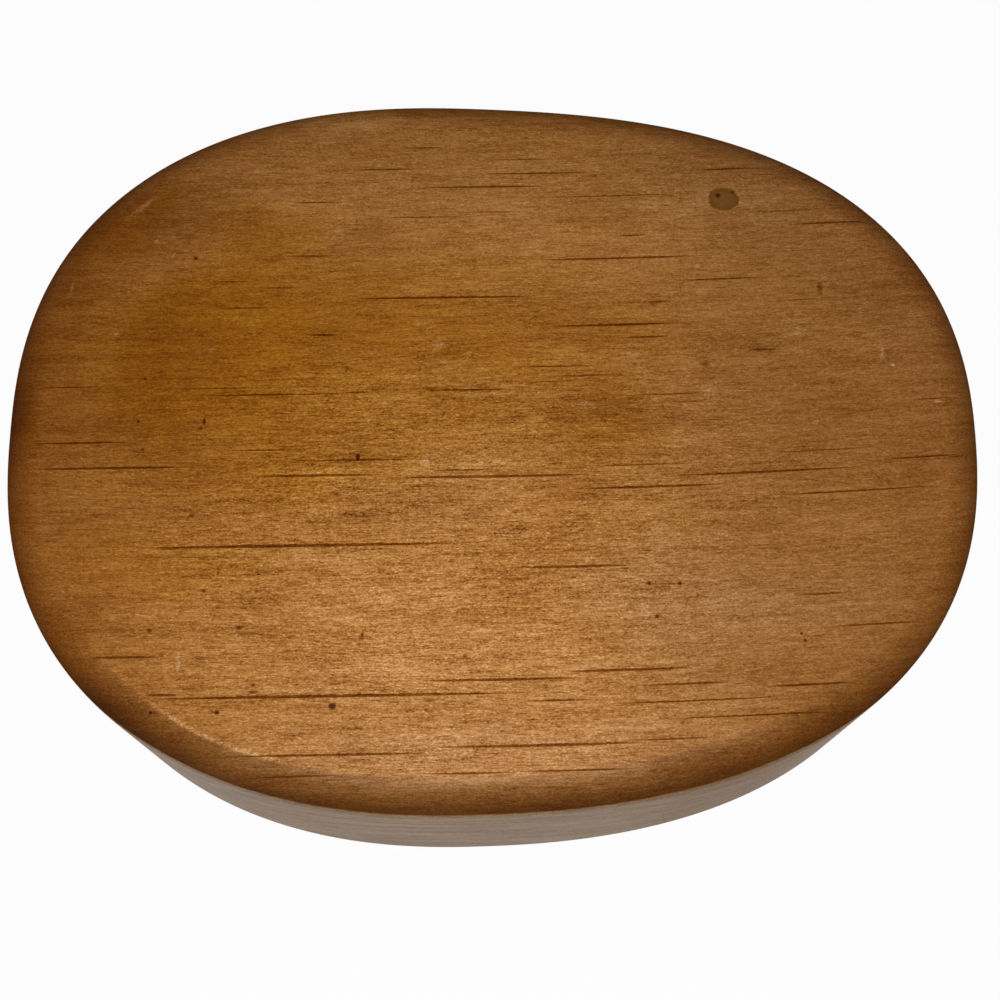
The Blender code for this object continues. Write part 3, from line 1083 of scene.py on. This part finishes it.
def lid_tree(settings, edge_group):
    """The top slice: its upper edge rounded over by hand, and a hole for the dowel."""
    lid, dowel = settings.lid, settings.dowel
    inputs = {
        **oval_values(settings),
        "Underside": SEAM_HEIGHT + lid.seam / 2,
        "Top": LID_HIGH.z,
        "Arris": lid.arris,
        "Edge Height": lid.edge_height,
        "Inset Back": lid.inset_back,
        "Inset Front": lid.inset_front,
        "Worn Cut": lid.worn_cut,
        "Worn Turn": lid.worn_turn,
        "Worn Spread": lid.worn_spread,
        "Hole X": DOWEL_PLACE.x,
        "Hole Y": DOWEL_PLACE.y,
        "Hole Radius": dowel.radius + dowel.glue_line,
    }
    g, size = piece_graph("Lid Board", inputs)

    def rounding(turn):
        middle = (size["Inset Back"] + size["Inset Front"]) * 0.5
        swing = (size["Inset Back"] - size["Inset Front"]) * 0.5
        away = (turn - size["Worn Turn"]) / size["Worn Spread"]
        worn = size["Worn Cut"] * g.math("EXPONENT", -(away * away))
        return middle + swing * g.math("SINE", turn) - worn, size["Edge Height"]

    edge = oval_edge(g, size, edge_group)
    heights = (size["Underside"], size["Top"])
    counts = (OVAL_STEPS, LID_RINGS)
    grid, _, place, crease = slab(g, counts, edge, no_depth, heights, size["Arris"], rounding)
    mesh = bend(g, grid, place, {"crease": crease})
    bottom, top = size["Underside"] - DRILL_OVERRUN, size["Top"] + DRILL_OVERRUN
    mesh = drill(g, mesh, size["Hole X"], size["Hole Y"], size["Hole Radius"], bottom, top)
    return end_tree(g, mesh, size), inputs


def dowel_tree(settings):
    """The dowel: flush with the lid, and eased where it turns in the wall."""
    dowel = settings.dowel
    inputs = {
        "Place X": DOWEL_PLACE.x,
        "Place Y": DOWEL_PLACE.y,
        "Radius": dowel.radius,
        "Tip": DOWEL_LOW.z,
        "Top": DOWEL_HIGH.z,
        "Tip Ease": dowel.tip_ease,
        "Top Ease": DOWEL_TOP_EASE,
    }
    g, size = piece_graph("Pivot Dowel", inputs)

    def edge(turn, depth):
        radius = size["Radius"] - depth
        rim = g.combine(radius * g.math("COSINE", turn), radius * g.math("SINE", turn))
        return size["Place X"], size["Place Y"], rim

    def rounding(turn):
        return size["Top Ease"], size["Top Ease"]

    heights = (size["Tip"], size["Top"])
    counts = (DOWEL_STEPS, DOWEL_RINGS)
    grid, _, place, _ = slab(g, counts, edge, no_depth, heights, size["Tip Ease"], rounding)
    return end_tree(g, bend(g, grid, place, {}), size), inputs


def board_tree(settings, edge_group):
    """The slice glued back under the hollowed block, its lower edge eased."""
    inputs = {
        **oval_values(settings),
        "Underside": BOARD_LOW.z,
        "Top": GLUE_HEIGHT - GLUE_LINE / 2,
        "Foot Ease": settings.wall.foot_ease,
    }
    g, size = piece_graph("Base Slice", inputs)
    edge = oval_edge(g, size, edge_group)
    heights = (size["Underside"], size["Top"])
    counts = (OVAL_STEPS, BOARD_RINGS)
    grid, _, place, _ = slab(g, counts, edge, no_depth, heights, size["Foot Ease"], no_rounding)
    return end_tree(g, bend(g, grid, place, {}), size), inputs


def hollow_side(g, size, group):
    """The hollow's depth inside the edge as a function of the turn."""
    sizes = pick(size, (*OVAL_INPUTS, *HOLLOW_INPUTS))
    return lambda turn: call(g, group, {"Turn": turn, **sizes})


def lining_tree(settings, edge_group, hollow_group):
    """The felt, cut to the hollow's outline, its face a little uneven and its cut edge soft."""
    inputs = {
        **oval_values(settings),
        **hollow_values(settings),
        "Margin": settings.wall.lining_margin,
        "Underside": GLUE_HEIGHT + GLUE_LINE,
        "Top": LINING_HIGH.z - FELT_UNEVENNESS,
        "Edge Ease": FELT_EDGE_EASE,
        "Unevenness": FELT_UNEVENNESS,
    }
    g, size = piece_graph("Felt Lining", inputs)
    side = hollow_side(g, size, hollow_group)

    def depth(turn):
        return side(turn) + size["Margin"]

    def rounding(turn):
        return size["Edge Ease"], size["Edge Ease"]

    edge = oval_edge(g, size, edge_group)
    heights = (size["Underside"], size["Top"])
    counts = (OVAL_STEPS, LINING_RINGS)
    grid, _, (x, y, height), _ = slab(g, counts, edge, depth, heights, 0, rounding)
    spot = g.combine(x * FELT_LUMPS, y * FELT_LUMPS)
    rise = (height - size["Underside"]) / (size["Top"] - size["Underside"])
    swell = (g.noise(spot, 3) * 3).at_most(1) * size["Unevenness"] * rise
    return end_tree(g, bend(g, grid, (x, y, height + swell), {}), size), inputs


def wall_tree(settings, edge_group, hollow_group):
    """The block's middle, sawn out to a ring with a boss and a blind hole for the dowel."""
    lid, wall, dowel = settings.lid, settings.wall, settings.dowel
    inputs = {
        **oval_values(settings),
        **hollow_values(settings),
        "Underside": GLUE_HEIGHT + GLUE_LINE / 2,
        "Top": SEAM_HEIGHT - lid.seam / 2,
        "Arris": wall.arris,
        "Rim Ease": wall.rim_ease,
        "Hole X": DOWEL_PLACE.x,
        "Hole Y": DOWEL_PLACE.y,
        "Hole Radius": dowel.radius + dowel.seat_gap,
        "Hole Bottom": SEAT_BOTTOM,
    }
    g, size = piece_graph("Wall Ring", inputs)
    grid, turn, ring = lay_rings(g, OVAL_STEPS, sum(WALL_RINGS))
    outside, arris, rim, ease, inside, under = run_stages(ring, WALL_RINGS)
    arris_sine, arris_fall = quarter(g, arris)
    ease_sine, ease_fall = quarter(g, ease)
    hollow = hollow_side(g, size, hollow_group)(turn)
    flat = hollow - size["Rim Ease"] - size["Arris"]
    depth = size["Arris"] * arris_fall + flat * rim + size["Rim Ease"] * ease_sine - hollow * under
    rise = (size["Top"] - size["Arris"] - size["Underside"]) * outside
    fall = (size["Top"] - size["Rim Ease"] - size["Underside"]) * inside
    height = size["Underside"] + rise + size["Arris"] * arris_sine
    height = height - size["Rim Ease"] * ease_fall - fall
    _, _, edge = oval_edge(g, size, edge_group)(turn, depth)
    x, y, _ = g.parts(edge)
    mesh = bend(g, grid, (x, y, height), {"sawn": ease * (1 - under)})
    top = size["Top"] + DRILL_OVERRUN
    hole = (size["Hole X"], size["Hole Y"], size["Hole Radius"], size["Hole Bottom"], top)
    return end_tree(g, drill(g, mesh, *hole), size), inputs


# Making and declaring pieces


def made_once(kept, name, maker, *needs):
    """The material or node group of this name, made the first time it is asked for."""
    return kept.get(name) or maker(*needs)


def edge_group_for(settings):
    return made_once(bpy.data.node_groups, "Oval Edge", oval_edge_group, settings)


def hollow_group_for(settings):
    needs = (settings, edge_group_for(settings))
    return made_once(bpy.data.node_groups, "Hollow Depth", hollow_depth_group, *needs)


def add_object(name, data):
    """A new object in the scene."""
    thing = bpy.data.objects.new(name, data)
    bpy.context.scene.collection.objects.link(thing)
    return thing


def grow(name, tree, values, material):
    """Runs a piece's tree and returns its result as a plain closed mesh."""
    piece = add_object(name, bpy.data.meshes.new(name))
    modifier = piece.modifiers.new(tree.name, "NODES")
    modifier.node_group = tree
    for item in tree.interface.items_tree:
        if item.in_out == "INPUT":
            modifier[item.identifier] = values.get(item.name, material)
    depsgraph = bpy.context.evaluated_depsgraph_get()
    evaluated = piece.evaluated_get(depsgraph)
    piece.data = bpy.data.meshes.new_from_object(
        evaluated, preserve_all_data_layers=True, depsgraph=depsgraph
    )
    piece.modifiers.clear()
    piece.data.name = name
    piece.data.materials.clear()
    piece.data.materials.append(material)
    piece.data.polygons.foreach_set("material_index", [0] * len(piece.data.polygons))
    piece.data.shade_smooth()
    piece.data.set_sharp_from_angle(angle=SHARP_ANGLE)
    check_closed(piece)
    return piece


def check_closed(piece):
    """Stops the script unless the mesh is closed and its faces point outwards."""
    work = bmesh.new()
    work.from_mesh(piece.data)
    open_edges = [edge for edge in work.edges if len(edge.link_faces) != 2]
    volume = work.calc_volume(signed=True)
    work.free()
    if open_edges or volume <= 0:
        raise RuntimeError(f"{piece.name}: {len(open_edges)} open edges, volume {volume:.3e}")


def declare(piece, body, node):
    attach(piece, body)
    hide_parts(node)


class TRINKETBOX_OT_lid(bpy.types.Operator):
    """Make the lid board with its rounded edge and the hole for the dowel"""

    bl_idname = "trinket_box.lid"
    bl_label = "Lid"

    def execute(self, context):
        settings = context.scene.trinket_box
        wood = made_once(bpy.data.materials, "lid_wood", lid_material, settings)
        tree, values = lid_tree(settings, edge_group_for(settings))
        declare(grow("lid_board", tree, values, wood), "lid", "lid")
        return {"FINISHED"}


class TRINKETBOX_OT_dowel(bpy.types.Operator):
    """Make the dowel that the lid swivels on"""

    bl_idname = "trinket_box.dowel"
    bl_label = "Dowel"

    def execute(self, context):
        settings = context.scene.trinket_box
        wood = made_once(bpy.data.materials, "dowel_end_grain", dowel_material, settings)
        tree, values = dowel_tree(settings)
        declare(grow("dowel_peg", tree, values, wood), "lid", "pivot_dowel")
        return {"FINISHED"}


class TRINKETBOX_OT_wall(bpy.types.Operator):
    """Make the wall ring with the hollow, the boss and the dowel's seat"""

    bl_idname = "trinket_box.wall"
    bl_label = "Wall"

    def execute(self, context):
        settings = context.scene.trinket_box
        wood = made_once(bpy.data.materials, "side_wood", side_material, settings)
        groups = edge_group_for(settings), hollow_group_for(settings)
        tree, values = wall_tree(settings, *groups)
        declare(grow("wall_ring", tree, values, wood), "box", "body_wall")
        return {"FINISHED"}


class TRINKETBOX_OT_base(bpy.types.Operator):
    """Make the slice that closes the hollow from below"""

    bl_idname = "trinket_box.base"
    bl_label = "Base"

    def execute(self, context):
        settings = context.scene.trinket_box
        wood = made_once(bpy.data.materials, "side_wood", side_material, settings)
        tree, values = board_tree(settings, edge_group_for(settings))
        declare(grow("base_slice", tree, values, wood), "box", "bottom_board")
        return {"FINISHED"}


class TRINKETBOX_OT_lining(bpy.types.Operator):
    """Make the felt on the floor of the hollow"""

    bl_idname = "trinket_box.lining"
    bl_label = "Lining"

    def execute(self, context):
        settings = context.scene.trinket_box
        felt = made_once(bpy.data.materials, "green_felt", felt_material, settings)
        groups = edge_group_for(settings), hollow_group_for(settings)
        tree, values = lining_tree(settings, *groups)
        lining = grow("felt_lining", tree, values, felt)
        declare(lining, "box", "floor_lining")
        return {"FINISHED"}


# The stage

CAMERA_PLACE = Vector((-0.00042, -0.08589, 0.27094))
CAMERA_TARGET = Vector((0.00101, -0.00965, 0.03873))
CAMERA_ROLL = math.radians(1.31)
CAMERA_LENS = 57.17
CAMERA_NEAR, CAMERA_FAR = 0.01, 20
FLOOR_SIDE = 4.0
WHITE = (1, 1, 1, 1)
NEAR_WHITE = 0.96  # how white the table looks near the box
WHITE_FROM = (0.12, 0.5)  # it fades to all white between these distances
OVERHEAD_DIM = 0.9  # how much dimmer than the horizon mirrored rays see the room overhead
OVERHEAD_FROM = (0.15, 0.75)  # it dims between these heights on a unit ball


def add_camera():
    """The photograph's view: from above and a little in front, close to the box."""
    look = (CAMERA_TARGET - CAMERA_PLACE).normalized()
    right = look.cross(Vector((0, 0, 1))).normalized()
    up = right.cross(look)
    side = right * math.cos(CAMERA_ROLL) + up * math.sin(CAMERA_ROLL)
    rise = up * math.cos(CAMERA_ROLL) - right * math.sin(CAMERA_ROLL)
    data = bpy.data.cameras.new("camera")
    data.lens = CAMERA_LENS
    data.clip_start = CAMERA_NEAR
    data.clip_end = CAMERA_FAR
    camera = add_object("camera", data)
    turned = Matrix((side, rise, -look)).transposed().to_4x4()
    camera.matrix_world = Matrix.Translation(CAMERA_PLACE) @ turned
    bpy.context.scene.camera = camera


def seen_directly(g):
    """1 for camera, glossy and transmission rays, which see a white background."""
    path = g.node("ShaderNodeLightPath")
    seen = path.out("Is Camera Ray").at_least(path.out("Is Glossy Ray"))
    return seen.at_least(path.out("Is Transmission Ray"))


def add_floor(stage):
    """A plain pale table that looks white and keeps a little of the box's shadow."""
    material, g = material_graph("pale_table")
    cloth = g.node("ShaderNodeBsdfDiffuse", None, {"Color": opaque(stage.floor)})
    white = g.node("ShaderNodeEmission", None, {"Color": WHITE, "Strength": 1})
    away = g.vector("LENGTH", g.node("ShaderNodeTexCoord", output="Object"))
    bright = NEAR_WHITE + (1 - NEAR_WHITE) * away.smooth(*WHITE_FROM)
    both = {"Fac": bright * seen_directly(g), 1: cloth, 2: white}
    shown = g.node("ShaderNodeMixShader", None, both)
    g.node("ShaderNodeOutputMaterial", None, {"Surface": shown})
    half = FLOOR_SIDE / 2
    corners = [(-half, -half, 0), (half, -half, 0), (half, half, 0), (-half, half, 0)]
    mesh = bpy.data.meshes.new("table")
    mesh.from_pydata(corners, [], [(0, 1, 2, 3)])
    mesh.materials.append(material)
    table = add_object("table", mesh)


def add_lamp(stage):
    """One soft square lamp over the box, a little in front of it."""
    data = bpy.data.lights.new("soft_lamp", "AREA")
    data.shape = "SQUARE"
    data.size = stage.lamp_size
    data.energy = stage.lamp_power
    lamp = add_object("soft_lamp", data)
    lamp.location = (0, -stage.lamp_forward, stage.lamp_height)


def add_room(stage):
    """Weak even light, and a room that glossy rays see white at the horizon and dim overhead."""
    world = bpy.data.worlds.new("room")
    world.use_nodes = True
    world.node_tree.nodes.clear()
    bpy.context.scene.world = world
    g = Graph(world.node_tree)
    path = g.node("ShaderNodeLightPath")
    _, _, up = g.parts(g.node("ShaderNodeTexCoord", output="Generated"))
    mirrored = path.out("Is Glossy Ray").at_least(path.out("Is Transmission Ray"))
    overhead = 1 - OVERHEAD_DIM * up.smooth(*OVERHEAD_FROM)
    fill = stage.fill + mirrored * (overhead - stage.fill)
    strength = fill + path.out("Is Camera Ray") * (1 - fill)
    sky = g.node("ShaderNodeBackground", None, {"Color": WHITE, "Strength": strength})
    g.node("ShaderNodeOutputWorld", None, {"Surface": sky})


class TRINKETBOX_OT_stage(bpy.types.Operator):
    """Make the camera, the table, the lamp and the room"""

    bl_idname = "trinket_box.stage"
    bl_label = "Stage"

    def execute(self, context):
        stage = context.scene.trinket_box.stage
        context.scene.view_settings.view_transform = "Standard"
        add_camera()
        add_floor(stage)
        add_lamp(stage)
        add_room(stage)
        return {"FINISHED"}


class TRINKETBOX_PT_sidebar(bpy.types.Panel):
    """Lists the box's pieces and their sizes"""

    bl_idname = "TRINKETBOX_PT_sidebar"
    bl_label = "Trinket Box"
    bl_space_type = "VIEW_3D"
    bl_region_type = "UI"
    bl_category = "Trinket Box"

    def draw(self, context):
        for operator in OPERATORS:
            self.layout.operator(operator.bl_idname)
        settings = context.scene.trinket_box
        for part in (settings.oval, settings.lid, settings.wall, settings.dowel, settings.finish):
            box = self.layout.box()
            for name in part.bl_rna.properties.keys():
                if name not in ("rna_type", "name"):
                    box.prop(part, name)


SETTINGS = (OvalSizes, LidSizes, WallSizes, DowelSizes, Finishes, StageSettings, BoxSettings)
OPERATORS = (
    TRINKETBOX_OT_base,
    TRINKETBOX_OT_wall,
    TRINKETBOX_OT_lining,
    TRINKETBOX_OT_lid,
    TRINKETBOX_OT_dowel,
    TRINKETBOX_OT_stage,
)
CLASSES = (*SETTINGS, *OPERATORS, TRINKETBOX_PT_sidebar)


def register():
    for each in CLASSES:
        bpy.utils.register_class(each)
    settings = group_property("Trinket Box", "The box's sizes, colours and light", BoxSettings)
    bpy.types.Scene.trinket_box = settings


def unregister():
    del bpy.types.Scene.trinket_box
    for each in reversed(CLASSES):
        bpy.utils.unregister_class(each)


def main():
    register()
    bpy.ops.trinket_box.base()
    bpy.ops.trinket_box.wall()
    bpy.ops.trinket_box.lining()
    bpy.ops.trinket_box.lid()
    bpy.ops.trinket_box.dowel()
    bpy.ops.trinket_box.stage()


if __name__ == "__main__":
    main()
